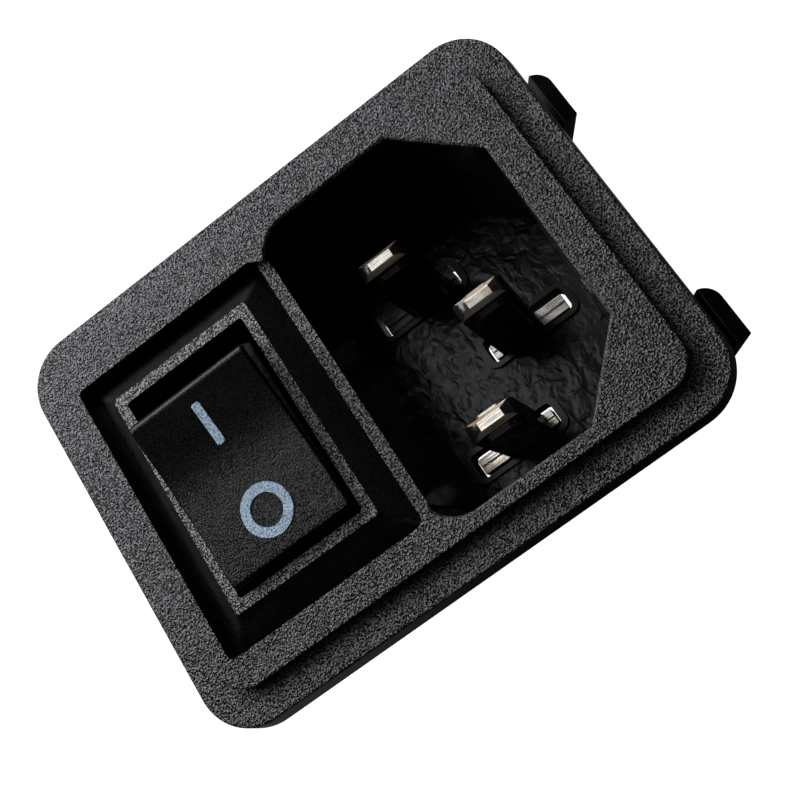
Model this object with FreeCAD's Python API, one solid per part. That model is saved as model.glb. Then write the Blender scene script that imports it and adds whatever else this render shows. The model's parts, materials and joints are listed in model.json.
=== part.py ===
"""Panel-mount appliance inlet with a two-pole rocker switch snapped in beside the mating cavity.

Row frame, millimetres: origin at the centre of the flange's rear face, +Z out of the face towards the
user, +X along the flange from the switch to the inlet, +Y towards the rocker's "on" side.
The rest pose has the rocker's "on" side up, so the switch is off.
"""
import FreeCAD, Part
import math
import os
from FreeCAD import Vector

# Flange and the raised platform on it
FLANGE_END_OVERLAP = 2.15
FLANGE_SIDE_OVERLAP = 2.45
FLANGE_THICKNESS = 2.0
FLANGE_CORNER = 4.0
FLANGE_DRAFT = 0.3
FLANGE_EDGE = 0.2
PLATFORM_END_INSET = 2.5
PLATFORM_SIDE_INSET = 2.6
PLATFORM_STEP = 0.8
PLATFORM_CORNER = 2.2
PLATFORM_EDGE = 0.15

# Body behind the panel
BODY_GAP = 0.9
CUTOUT_PLAY = 0.1
BODY_CORNER = 1.5
WALL = 1.3
RIB_WIDTH = 1.6
RIB_SPACING = 6.0
RIB_DEPTH = 6.0

# Divider between the switch's recess and the cavity, level with the flange
DIVIDER = 0.88
DIVIDER_PROUD = 0.22
DIVIDER_END = 1.0
SADDLE_END = 0.7

# Mating cavity
CAVITY_LENGTH = 16.65
CAVITY_WIDTH = 24.0
CAVITY_DEPTH = 17.8
CAVITY_CUT = 5.0
CAVITY_CORNER = 2.8
CAVITY_MOUTH = 0.2
CAVITY_END_WALL = 1.95
CAVITY_FLOOR = 2.0

# Pins and the terminals that they are part of
LINE_PIN_INSET = 6.15
PIN_STAGGER = 4.25
PIN_PITCH = 14.0
PIN_WIDTH = 4.0
PIN_THICKNESS = 2.0
LINE_PIN_DROP = 4.8
EARTH_PIN_DROP = 3.3
PIN_FOLD = 1.3
PIN_TIP_WIDTH = 1.9
PIN_TIP_HEIGHT = 1.1
PIN_TIP_ROUND = 0.35
PIN_TIP_EDGE = 0.32
PIN_TIP_EDGE_HEIGHT = 0.4
PANEL_MARGIN = 0.45
PANEL_DRAFT = 0.15
PANEL_CORNER = 0.8
SHOULDER_WIDTH = 7.1
LINE_SHOULDER_SHIFT = -0.8
EARTH_SHOULDER_SHIFT = 0.92
SHOULDER_DROP = 0.5
SHOULDER_TAIL = 0.6
SEAM_WIDTH = 0.12
SEAM_DEPTH = 0.2
SLOT_END_PLAY = 0.25
SLOT_SIDE_PLAY = 0.05
SLOT_CORNER = 0.4
SLOT_RIM_END = 0.6
SLOT_RIM_SIDE = 0.4
SLOT_RIM_CORNER = 0.9
SLOT_RIM_HEIGHT = 0.5
TAB_WIDTH = 6.3
TAB_THICKNESS = 0.8
TAB_LENGTH = 8.0
TAB_HOLE = 1.65
TAB_HOLE_FROM_END = 3.0
TAB_TIP_CUT = 1.2

# Snap arms on the short ends
ARM_SPREAD = 3.95
ARM_TOP_DROP = 4.2
ARM_TOP_THICKNESS = 1.1
ARM_TOP_RISE = 0.3
ARM_WIDTH = 4.5
ARM_PITCH = 19.8
ARM_SLOPE = 0.27
ARM_KNEE_RISE = 3.0
ARM_FOOT_THICKNESS = 1.3
ARM_ROOT_RISE = 2.2
ARM_FOOT_RISE = 0.6
ARM_CORNER = 1.3

# Recess and window for the switch
BAY_MARGIN = 0.64
RECESS_PLAY = 0.4
RECESS_INNER_PLAY = 0.28
RECESS_DEPTH = 2.0
RECESS_CORNER = 0.45
RECESS_FLOOR = 1.2
WINDOW_PLAY = 0.15

# Bezel of the switch
OPENING_LENGTH = 15.84
OPENING_WIDTH = 10.16
OPENING_CORNER = 0.25
FRAME_BORDER = 0.78
FRAME_CORNER = 0.3
BEZEL_END_SLOPE = 1.8
BEZEL_SIDE_SLOPE = 1.65
BEZEL_HEIGHT = 2.15
BEZEL_LIP = 0.3
BEZEL_CORNER = 0.3

# Body of the switch
CASE_END_WALL = 1.53
CASE_SIDE_WALL = 1.32
CASE_CORNER = 0.6
LATCH_WIDTH = 6.0
LATCH_BARB = 0.75
LATCH_STANDOFF = 0.15
LATCH_THICKNESS = 0.6
LATCH_GAP = 0.05
LATCH_TOP = 0.9
LATCH_LENGTH = 8.0
LATCH_ROOT = 1.4
BASE_THICKNESS = 1.2
BASE_PLUG = 1.0
BASE_PLAY = 0.1
PARTITION = 0.8
PARTITION_HEIGHT = 5.5

# Rocker
PIVOT_DROP = 5.1
ROCKER_TILT = 9.0
ROCKER_SIDE_PLAY = 0.23
ROCKER_END_PLAY = 0.57
ROCKER_END_SLOPE = 0.95
ROCKER_TOP_HEIGHT = 7.3
ROCKER_DISH = 0.45
ROCKER_END_ROUND = 0.5
ROCKER_SIDE_ROUND = 0.28
ROCKER_SKIRT_HEIGHT = 2.0
ROCKER_HEEL_HALF = 2.3
ROCKER_HEEL_DROP = 1.6
ROCKER_SHELL = 1.0
ROCKER_ROOF = 1.3
TRUNNION = 2.0
TRUNNION_PLAY = 0.05
TRUNNION_END_GAP = 0.3
SOCKET = 4.0
SOCKET_DROP = 2.2
SOCKET_ROOF = 2.4

# Printed marks
MARK_THICKNESS = 0.04
MARK_GAP = 0.012
BAR_LENGTH = 3.2
BAR_WIDTH = 0.62
BAR_CORNER = 0.15
BAR_INSET = 2.9
RING_OUTSIDE = 3.65
RING_STROKE = 0.68
RING_INSET = 3.05

# Plungers and their springs
POLE_PITCH = 4.9
PLUNGER = 2.6
PLUNGER_PLAY = 0.05
PLUNGER_TOP_DROP = 0.4
PLUNGER_TAPER = 1.45
PLUNGER_TIP = 1.0
PLUNGER_TRACK_GAP = 0.05
SPRING_PLAY = 0.2
SPRING_WIRE = 0.32
SPRING_TURNS = 6
SPRING_END_GAP = 0.05

# Contact arms and the terminals of the switch
FULCRUM_DROP = 7.0
ARM_TILT = 7.0
BLADE_WIDTH = 3.2
BLADE_THICKNESS = 0.6
BLADE_TOP = 0.5
BLADE_SHORT_END = 3.5
BLADE_OVERHANG = 0.2
NOTCH = 0.3
KNIFE_PLAY = 0.05
KNIFE_HEIGHT = 0.5
KNIFE_TAPER = 0.5
CONTACT = 2.0
CONTACT_THICKNESS = 0.5
CONTACT_INSET = 2.02
CONTACT_GAP = 0.05
SWITCH_TAB_WIDTH = 2.8
SWITCH_TAB_LENGTH = 7.5
SWITCH_TAB_OFFSET = 0.72
SWITCH_TAB_HOLE = 1.2
SWITCH_TAB_CUT = 0.7
SHELF_MARGIN = 0.4
SHELF_THICKNESS = 0.8

# Places worked out from the sizes above
FRAME_LENGTH = OPENING_LENGTH + 2 * FRAME_BORDER
FRAME_WIDTH = OPENING_WIDTH + 2 * FRAME_BORDER
BEZEL_LENGTH = FRAME_LENGTH + 2 * BEZEL_END_SLOPE
BEZEL_WIDTH = FRAME_WIDTH + 2 * BEZEL_SIDE_SLOPE
RECESS_LENGTH = BEZEL_LENGTH + 2 * RECESS_PLAY
RECESS_WIDTH = BEZEL_WIDTH + RECESS_PLAY + RECESS_INNER_PLAY
BODY_LENGTH = BAY_MARGIN + RECESS_WIDTH + DIVIDER - DIVIDER_PROUD + CAVITY_LENGTH + CAVITY_END_WALL
BODY_WIDTH = CAVITY_WIDTH + 2 * WALL
CUTOUT_LENGTH = BODY_LENGTH + 2 * BODY_GAP
FLANGE_LENGTH = CUTOUT_LENGTH + 2 * FLANGE_END_OVERLAP
FLANGE_WIDTH = BODY_WIDTH + 2 * FLANGE_SIDE_OVERLAP
PLATFORM_LENGTH = FLANGE_LENGTH - 2 * PLATFORM_END_INSET
PLATFORM_WIDTH = FLANGE_WIDTH - 2 * PLATFORM_SIDE_INSET
ARM_REACH = CUTOUT_LENGTH / 2 + ARM_SPREAD
RECESS_X0 = BAY_MARGIN - BODY_LENGTH / 2
SWITCH_X = RECESS_X0 + RECESS_PLAY + BEZEL_WIDTH / 2
DIVIDER_X0 = RECESS_X0 + RECESS_WIDTH
DIVIDER_X1 = DIVIDER_X0 + DIVIDER
CAVITY_X0 = DIVIDER_X1 - DIVIDER_PROUD
CAVITY_X1 = CAVITY_X0 + CAVITY_LENGTH
LINE_PIN_X = CAVITY_X0 + LINE_PIN_INSET
EARTH_PIN_X = LINE_PIN_X + PIN_STAGGER
FACE_Z = FLANGE_THICKNESS + PLATFORM_STEP
CAVITY_FLOOR_Z = FACE_Z - CAVITY_DEPTH
BODY_REAR_Z = CAVITY_FLOOR_Z - CAVITY_FLOOR
CASE_LENGTH = OPENING_LENGTH + 2 * CASE_END_WALL
CASE_WIDTH = OPENING_WIDTH + 2 * CASE_SIDE_WALL
ROCKER_WIDTH = OPENING_WIDTH - 2 * ROCKER_SIDE_PLAY
ROCKER_SKIRT_HALF = OPENING_LENGTH / 2 - ROCKER_END_PLAY
ROCKER_TOP_HALF = ROCKER_SKIRT_HALF - ROCKER_END_SLOPE
BAR_Y = ROCKER_TOP_HALF - BAR_INSET
RING_Y = RING_INSET - ROCKER_TOP_HALF
RECESS_Z = FACE_Z - RECESS_DEPTH
RECESS_REAR_Z = RECESS_Z - RECESS_FLOOR
PIVOT_Z = FACE_Z - PIVOT_DROP
FULCRUM_Z = PIVOT_Z - FULCRUM_DROP
CONTACT_Y = OPENING_LENGTH / 2 - CONTACT_INSET
BUTTON_FOOT = CONTACT_Y + CONTACT / 2
BUTTON_DROP = BLADE_THICKNESS - BLADE_TOP + CONTACT_THICKNESS
SWING = math.radians(ARM_TILT)
FIXED_TOP_Z = FULCRUM_Z - BUTTON_FOOT * math.sin(SWING) - BUTTON_DROP * math.cos(SWING) - CONTACT_GAP
FIXED_Y = CONTACT_Y * math.cos(SWING) - BUTTON_DROP * math.sin(SWING)
SWITCH_TAB_Y = FIXED_Y + SWITCH_TAB_OFFSET
BLADE_LONG_END = BUTTON_FOOT + BLADE_OVERHANG
SHELF_TOP_Z = FIXED_TOP_Z - CONTACT_THICKNESS
BASE_TOP_Z = SHELF_TOP_Z - SHELF_THICKNESS
CASE_REAR_Z = BASE_TOP_Z - BASE_PLUG
BASE_REAR_Z = CASE_REAR_Z - BASE_THICKNESS
PLUNGER_REACH = FULCRUM_DROP - BLADE_TOP - PLUNGER_TIP - PLUNGER_TRACK_GAP
PLUNGER_NECK_DROP = PLUNGER_REACH - PLUNGER_TAPER
SPRING_OUTSIDE = PLUNGER + 2 * PLUNGER_PLAY - 2 * SPRING_PLAY
X_AXIS = Vector(1, 0, 0)
Z_AXIS = Vector(0, 0, 1)


def block(x0, x1, y0, y1, z0, z1):
    """A box between two opposite corners."""
    return Part.makeBox(x1 - x0, y1 - y0, z1 - z0, Vector(x0, y0, z0))


def rounded_wire(x0, x1, y0, y1, z, radius):
    """A rectangle at height z whose four corners are arcs of one radius."""
    mid = radius * (1 - math.sqrt(0.5))
    corners = [
        ((x1 - radius, y0), (x1 - mid, y0 + mid), (x1, y0 + radius)),
        ((x1, y1 - radius), (x1 - mid, y1 - mid), (x1 - radius, y1)),
        ((x0 + radius, y1), (x0 + mid, y1 - mid), (x0, y1 - radius)),
        ((x0, y0 + radius), (x0 + mid, y0 + mid), (x0 + radius, y0)),
    ]
    edges = []
    last = Vector(*corners[-1][2], z)
    for corner in corners:
        start, middle, end = (Vector(*point, z) for point in corner)
        edges.append(Part.LineSegment(last, start).toShape())
        edges.append(Part.Arc(start, middle, end).toShape())
        last = end
    return Part.Wire(edges)


def rounded_block(x0, x1, y0, y1, z0, z1, radius):
    """A box with its four upright edges rounded."""
    face = Part.Face(rounded_wire(x0, x1, y0, y1, z0, radius))
    return face.extrude(Vector(0, 0, z1 - z0))


def centred_block(x, length_x, length_y, z0, z1, radius):
    """A rounded box centred on x and on y = 0."""
    half_x, half_y = length_x / 2, length_y / 2
    return rounded_block(x - half_x, x + half_x, -half_y, half_y, z0, z1, radius)


def side_profile(points, x0, x1):
    """A closed outline of (y, z) points, carried along X from x0 to x1."""
    outline = Part.makePolygon([Vector(x0, y, z) for y, z in points + points[:1]])
    return Part.Face(outline).extrude(Vector(x1 - x0, 0, 0))


def end_profile(points, y0, y1):
    """A closed outline of (x, z) points, carried along Y from y0 to y1."""
    outline = Part.makePolygon([Vector(x, y0, z) for x, z in points + points[:1]])
    return Part.Face(outline).extrude(Vector(0, y1 - y0, 0))


def cross_rod(x0, x1, y, z, radius):
    """A cylinder along X."""
    return Part.makeCylinder(radius, x1 - x0, Vector(x0, y, z), X_AXIS)


def flat_edges(shape, z):
    """The edges of a shape that lie wholly at height z."""
    tolerance = 1e-4
    boxes = [(edge, edge.BoundBox) for edge in shape.Edges]
    return [edge for edge, box in boxes if abs(box.ZMin - z) < tolerance and abs(box.ZMax - z) < tolerance]


def cavity_outline(z, grow):
    """The mating cavity's outline, grown all round: two corners cut off, two rounded."""
    x0, x1 = CAVITY_X0 - grow, CAVITY_X1 + grow
    half = CAVITY_WIDTH / 2 + grow
    radius = CAVITY_CORNER + grow
    cut = CAVITY_CUT + grow * (2 - math.sqrt(2))
    mid = radius * (1 - math.sqrt(0.5))
    points = [
        Vector(x0 + radius, -half, z),
        Vector(x1 - cut, -half, z),
        Vector(x1, -half + cut, z),
        Vector(x1, half - cut, z),
        Vector(x1 - cut, half, z),
        Vector(x0 + radius, half, z),
    ]
    edges = [Part.LineSegment(a, b).toShape() for a, b in zip(points, points[1:])]
    upper_end = Vector(x0, half - radius, z)
    lower_start = Vector(x0, -half + radius, z)
    edges.append(Part.Arc(points[-1], Vector(x0 + mid, half - mid, z), upper_end).toShape())
    edges.append(Part.LineSegment(upper_end, lower_start).toShape())
    edges.append(Part.Arc(lower_start, Vector(x0 + mid, -half + mid, z), points[0]).toShape())
    return Part.Wire(edges)


def divider_saddle():
    """What is cut from the platform above the divider, its ends slanting from the recess to the cavity."""
    inset = RECESS_CORNER * (1 - math.sqrt(0.5))
    outer_x, outer_y = DIVIDER_X0 - inset, RECESS_LENGTH / 2 - inset
    inner_x, inner_y = DIVIDER_X1, RECESS_LENGTH / 2 - SADDLE_END
    corners = [(outer_x, -outer_y), (inner_x, -inner_y), (inner_x, inner_y), (outer_x, outer_y)]
    outline = Part.makePolygon([Vector(x, y, FLANGE_THICKNESS) for x, y in corners + corners[:1]])
    return Part.Face(outline).extrude(Vector(0, 0, PLATFORM_STEP))


def terminal_places():
    """Each inlet terminal: its name, pin centre x and y, shoulder centre x and pin tip height."""
    line_shoulder = LINE_PIN_X + LINE_SHOULDER_SHIFT
    earth_shoulder = EARTH_PIN_X + EARTH_SHOULDER_SHIFT
    return [
        ("line_terminal", LINE_PIN_X, -PIN_PITCH / 2, line_shoulder, FACE_Z - LINE_PIN_DROP),
        ("neutral_terminal", LINE_PIN_X, PIN_PITCH / 2, line_shoulder, FACE_Z - LINE_PIN_DROP),
        ("earth_terminal", EARTH_PIN_X, 0.0, earth_shoulder, FACE_Z - EARTH_PIN_DROP),
    ]


def snap_arm(side, y):
    """One springy arm beside the flange's short end: rooted low on the body, its free end up and out."""
    top_z = -ARM_TOP_DROP
    knee_z = BODY_REAR_Z + ARM_KNEE_RISE
    root_z = BODY_REAR_Z + ARM_ROOT_RISE
    foot_z = BODY_REAR_Z + ARM_FOOT_RISE
    body_x = BODY_LENGTH / 2
    buried_x = body_x - WALL / 2
    knee_x = ARM_REACH - ARM_SLOPE * (top_z - knee_z)
    points = [
        (ARM_REACH - ARM_TOP_THICKNESS, top_z + ARM_TOP_RISE),
        (ARM_REACH, top_z),
        (knee_x, knee_z),
        (body_x, foot_z),
        (buried_x, foot_z),
        (buried_x, root_z),
        (body_x, root_z),
        (knee_x - ARM_FOOT_THICKNESS, knee_z),
    ]
    arm = end_profile(points, y - ARM_WIDTH / 2, y + ARM_WIDTH / 2)
    high_y = y + ARM_WIDTH / 2
    corner = block(ARM_REACH - ARM_CORNER, ARM_REACH, high_y - ARM_CORNER, high_y, BODY_REAR_Z, 0)
    rounding_axis = Vector(ARM_REACH - ARM_CORNER, high_y - ARM_CORNER, BODY_REAR_Z)
    arm = arm.cut(corner.cut(Part.makeCylinder(ARM_CORNER, -BODY_REAR_Z, rounding_axis)))
    if side < 0:
        arm.rotate(Vector(), Z_AXIS, 180)
    return arm


def flange_plate():
    """The flange, its sides drawn in a little towards the face."""
    loops = []
    for z, draft in ((0, 0), (FLANGE_THICKNESS, FLANGE_DRAFT)):
        half_x, half_y = FLANGE_LENGTH / 2 - draft, FLANGE_WIDTH / 2 - draft
        loops.append(rounded_wire(-half_x, half_x, -half_y, half_y, z, FLANGE_CORNER - draft))
    return Part.makeLoft(loops, True, True)


def housing():
    """Flange, platform, body, mating cavity, switch bay, slots, ribs and snap arms in one moulding."""
    flange = flange_plate()
    flange = flange.makeFillet(FLANGE_EDGE, flat_edges(flange, FLANGE_THICKNESS))
    platform = centred_block(0, PLATFORM_LENGTH, PLATFORM_WIDTH, 0, FACE_Z, PLATFORM_CORNER)
    platform = platform.makeFillet(PLATFORM_EDGE, flat_edges(platform, FACE_Z))
    body = centred_block(0, BODY_LENGTH, BODY_WIDTH, BODY_REAR_Z, FLANGE_THICKNESS, BODY_CORNER)
    solid = flange.fuse([platform, body])

    rib_x = CUTOUT_LENGTH / 2 - CUTOUT_PLAY
    for y in (-RIB_SPACING / 2, RIB_SPACING / 2):
        rib = block(-rib_x, rib_x, y - RIB_WIDTH / 2, y + RIB_WIDTH / 2, -RIB_DEPTH, FLANGE_THICKNESS / 2)
        solid = solid.fuse(rib)
    for side in (-1, 1):
        for y in (-ARM_PITCH / 2, ARM_PITCH / 2):
            solid = solid.fuse(snap_arm(side, y))

    cavity = Part.Face(cavity_outline(CAVITY_FLOOR_Z, 0)).extrude(Vector(0, 0, CAVITY_DEPTH))
    mouth = Part.makeLoft(
        [cavity_outline(FACE_Z - CAVITY_MOUTH, 0), cavity_outline(FACE_Z, CAVITY_MOUTH)], True, True
    )
    recess = rounded_block(
        RECESS_X0, DIVIDER_X0, -RECESS_LENGTH / 2, RECESS_LENGTH / 2, RECESS_Z, FACE_Z, RECESS_CORNER
    )
    window_length = CASE_LENGTH + 2 * WINDOW_PLAY
    window_width = CASE_WIDTH + 2 * WINDOW_PLAY
    window = centred_block(SWITCH_X, window_width, window_length, RECESS_REAR_Z, RECESS_Z, CASE_CORNER)
    bay = rounded_block(
        WALL - BODY_LENGTH / 2, DIVIDER_X1 - WALL, WALL - BODY_WIDTH / 2, BODY_WIDTH / 2 - WALL,
        BODY_REAR_Z, RECESS_REAR_Z, BODY_CORNER
    )
    solid = solid.cut([cavity, mouth, recess, divider_saddle()])
    half_divider = RECESS_LENGTH / 2 - DIVIDER_END
    divider = block(DIVIDER_X0, DIVIDER_X1, -half_divider, half_divider, BODY_REAR_Z, FLANGE_THICKNESS)
    solid = solid.fuse(divider).cut([window, bay])

    rim_z = CAVITY_FLOOR_Z + SLOT_RIM_HEIGHT
    for _, _, y, shoulder_x, _ in terminal_places():
        half_x = SHOULDER_WIDTH / 2 + SLOT_END_PLAY
        half_y = PIN_THICKNESS / 2 + SLOT_SIDE_PLAY
        rim_x = half_x + SLOT_RIM_END
        rim_y = half_y + SLOT_RIM_SIDE
        rim = rounded_block(
            shoulder_x - rim_x, shoulder_x + rim_x, y - rim_y, y + rim_y,
            CAVITY_FLOOR_Z, rim_z, SLOT_RIM_CORNER
        )
        slot = rounded_block(
            shoulder_x - half_x, shoulder_x + half_x, y - half_y, y + half_y,
            BODY_REAR_Z, rim_z, SLOT_CORNER
        )
        solid = solid.fuse(rim).cut(slot)
    return solid.removeSplitter()


def tab(x, y, width, z_top, length, hole, tip_cut, hole_from_end):
    """A push-on tab that hangs down from z_top, its flat sides facing Y, with a hole and a cut tip."""
    z_end = z_top - length
    outline = [
        (x - width / 2, z_top),
        (x + width / 2, z_top),
        (x + width / 2, z_end + tip_cut),
        (x + width / 2 - tip_cut, z_end),
        (x - width / 2 + tip_cut, z_end),
        (x - width / 2, z_end + tip_cut),
    ]
    blade = end_profile(outline, y - TAB_THICKNESS / 2, y + TAB_THICKNESS / 2)
    centre = Vector(x, y - TAB_THICKNESS, z_end + hole_from_end)
    return blade.cut(Part.makeCylinder(hole / 2, 2 * TAB_THICKNESS, centre, Vector(0, 1, 0)))


def pin_core(x, y, z_low, tip_z):
    """The folded blade of a pin: rounded shoulders up to a narrow flat tip whose long edges are bevelled."""
    half, tip_half = PIN_WIDTH / 2, PIN_TIP_WIDTH / 2
    shoulder_z = tip_z - PIN_TIP_HEIGHT
    bend_x = half - PIN_TIP_ROUND
    bend_z = tip_z - PIN_TIP_ROUND
    low_left, high_left = Vector(x - half, y, z_low), Vector(x - half, y, shoulder_z)
    low_right, high_right = Vector(x + half, y, z_low), Vector(x + half, y, shoulder_z)
    tip_left, tip_right = Vector(x - tip_half, y, tip_z), Vector(x + tip_half, y, tip_z)
    edges = [
        Part.LineSegment(low_left, high_left),
        Part.Arc(high_left, Vector(x - bend_x, y, bend_z), tip_left),
        Part.LineSegment(tip_left, tip_right),
        Part.Arc(tip_right, Vector(x + bend_x, y, bend_z), high_right),
        Part.LineSegment(high_right, low_right),
        Part.LineSegment(low_right, low_left),
    ]
    half_fold = PIN_FOLD / 2
    face = Part.Face(Part.Wire([edge.toShape() for edge in edges]))
    face.translate(Vector(0, -half_fold, 0))
    front = face.extrude(Vector(0, PIN_FOLD, 0))
    tip_y = half_fold - PIN_TIP_EDGE
    edge_z = tip_z - PIN_TIP_EDGE_HEIGHT
    outline = [
        (y - half_fold, z_low), (y + half_fold, z_low), (y + half_fold, edge_z),
        (y + tip_y, tip_z), (y - tip_y, tip_z), (y - half_fold, edge_z),
    ]
    return front.common(side_profile(outline, x - half, x + half))


def pin_panel(x, y, z_low, tip_z, side):
    """The pressed-out panel on one broad side of a pin, which brings the fold up to the pin's thickness."""
    half = PIN_WIDTH / 2 - PANEL_MARGIN
    height = tip_z - PIN_TIP_HEIGHT - z_low
    rise = (PIN_THICKNESS - PIN_FOLD) / 2
    foot = rounded_wire(-half, half, 0, height, 0, PANEL_CORNER)
    top_half = half - PANEL_DRAFT
    top = rounded_wire(
        -top_half, top_half, PANEL_DRAFT, height - PANEL_DRAFT, rise, PANEL_CORNER - PANEL_DRAFT
    )
    panel = Part.makeLoft([foot, top], True, True)
    panel.rotate(Vector(), X_AXIS, 90)
    if side > 0:
        panel.rotate(Vector(), Z_AXIS, 180)
    panel.translate(Vector(x, y + side * PIN_FOLD / 2, z_low))
    return panel


def inlet_terminal(pin_x, y, shoulder_x, tip_z):
    """A terminal folded from one strip: pin with pressed-out panels, wide shoulder in its slot, tab."""
    half_shoulder = SHOULDER_WIDTH / 2
    shoulder_top = CAVITY_FLOOR_Z - SHOULDER_DROP
    shoulder_end = BODY_REAR_Z - SHOULDER_TAIL
    pieces = [pin_core(pin_x, y, shoulder_top, tip_z)]
    for side in (-1, 1):
        pieces.append(pin_panel(pin_x, y, shoulder_top, tip_z, side))
    shoulder = block(
        shoulder_x - half_shoulder, shoulder_x + half_shoulder, y - PIN_FOLD / 2, y + PIN_FOLD / 2,
        shoulder_end, shoulder_top
    )
    half_seam = SEAM_WIDTH / 2
    notch = [(y - half_seam, shoulder_top), (y + half_seam, shoulder_top), (y, shoulder_top - SEAM_DEPTH)]
    seam = side_profile(notch, shoulder_x - half_shoulder, shoulder_x + half_shoulder)
    rear = tab(shoulder_x, y, TAB_WIDTH, shoulder_end, TAB_LENGTH, TAB_HOLE, TAB_TIP_CUT, TAB_HOLE_FROM_END)
    return shoulder.cut(seam).fuse(pieces + [rear]).removeSplitter()


def latch(side):
    """A springy tongue on the case's end: rooted low, standing off the wall, its barb under the recess."""
    wall_y = CASE_LENGTH / 2
    top_z = RECESS_REAR_Z - LATCH_GAP
    root_z = top_z - LATCH_LENGTH
    inner = wall_y + LATCH_STANDOFF
    barb = wall_y + WINDOW_PLAY + LATCH_BARB
    points = [
        (inner, top_z),
        (barb - LATCH_THICKNESS / 2, top_z),
        (barb, top_z - LATCH_TOP),
        (wall_y + LATCH_THICKNESS, root_z + LATCH_ROOT),
        (wall_y, root_z),
        (wall_y - LATCH_THICKNESS, root_z),
        (wall_y - LATCH_THICKNESS, root_z + LATCH_ROOT),
        (inner, root_z + LATCH_ROOT),
    ]
    half = LATCH_WIDTH / 2
    return side_profile([(side * y, z) for y, z in points], SWITCH_X - half, SWITCH_X + half)


def switch_case():
    """Sloped bezel with its flat frame, four walls with the rocker's bearings, and two latches."""
    half_x, half_y = BEZEL_WIDTH / 2, BEZEL_LENGTH / 2
    lip_z = RECESS_Z + BEZEL_LIP
    top_z = RECESS_Z + BEZEL_HEIGHT
    lip = centred_block(SWITCH_X, BEZEL_WIDTH, BEZEL_LENGTH, RECESS_Z, lip_z, BEZEL_CORNER)
    low = rounded_wire(SWITCH_X - half_x, SWITCH_X + half_x, -half_y, half_y, lip_z, BEZEL_CORNER)
    half_x, half_y = FRAME_WIDTH / 2, FRAME_LENGTH / 2
    high = rounded_wire(SWITCH_X - half_x, SWITCH_X + half_x, -half_y, half_y, top_z, FRAME_CORNER)
    skirt = Part.makeLoft([low, high], True, True)
    walls = centred_block(SWITCH_X, CASE_WIDTH, CASE_LENGTH, CASE_REAR_Z, RECESS_Z, CASE_CORNER)
    opening = centred_block(SWITCH_X, OPENING_WIDTH, OPENING_LENGTH, CASE_REAR_Z, top_z, OPENING_CORNER)
    solid = lip.fuse([skirt, walls, latch(-1), latch(1)]).cut(opening)
    bearing = TRUNNION / 2 + TRUNNION_PLAY
    half_case = CASE_WIDTH / 2
    solid = solid.cut(cross_rod(SWITCH_X - half_case, SWITCH_X + half_case, 0, PIVOT_Z, bearing))
    return solid.removeSplitter()


def poles():
    """Each pole's letter and the x of its contact set."""
    return [("a", SWITCH_X - POLE_PITCH / 2), ("b", SWITCH_X + POLE_PITCH / 2)]


def switch_base():
    """The plate and plug that close the case from behind, four tab slots, a wall between the poles."""
    plate = centred_block(SWITCH_X, CASE_WIDTH, CASE_LENGTH, BASE_REAR_Z, CASE_REAR_Z, CASE_CORNER)
    plug = centred_block(
        SWITCH_X, OPENING_WIDTH - 2 * BASE_PLAY, OPENING_LENGTH - 2 * BASE_PLAY,
        CASE_REAR_Z, BASE_TOP_Z, OPENING_CORNER
    )
    partition = block(
        SWITCH_X - PARTITION / 2, SWITCH_X + PARTITION / 2,
        BASE_PLAY - OPENING_LENGTH / 2, OPENING_LENGTH / 2 - BASE_PLAY,
        BASE_TOP_Z, BASE_TOP_Z + PARTITION_HEIGHT
    )
    solid = plate.fuse([plug, partition])
    half_x = SWITCH_TAB_WIDTH / 2 + BASE_PLAY / 2
    half_y = TAB_THICKNESS / 2 + BASE_PLAY / 2
    for _, x in poles():
        for y in (0, -SWITCH_TAB_Y):
            solid = solid.cut(block(x - half_x, x + half_x, y - half_y, y + half_y, BASE_REAR_Z, BASE_TOP_Z))
    return solid.removeSplitter()


def tilted(shape):
    """A piece of the rocker, drawn level with the pivot at the origin, put in its place at rest."""
    shape.rotate(Vector(), X_AXIS, ROCKER_TILT)
    shape.translate(Vector(SWITCH_X, 0, PIVOT_Z))
    return shape


def dish(lift):
    """The rocker's hollow top as a rod along X: a circle through the top's two ends and its low middle."""
    half = ROCKER_TOP_HALF
    radius = (half * half + ROCKER_DISH * ROCKER_DISH) / (2 * ROCKER_DISH)
    centre_z = ROCKER_TOP_HEIGHT - ROCKER_DISH + radius
    return cross_rod(-ROCKER_WIDTH, ROCKER_WIDTH, 0, centre_z, radius - lift)


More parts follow.
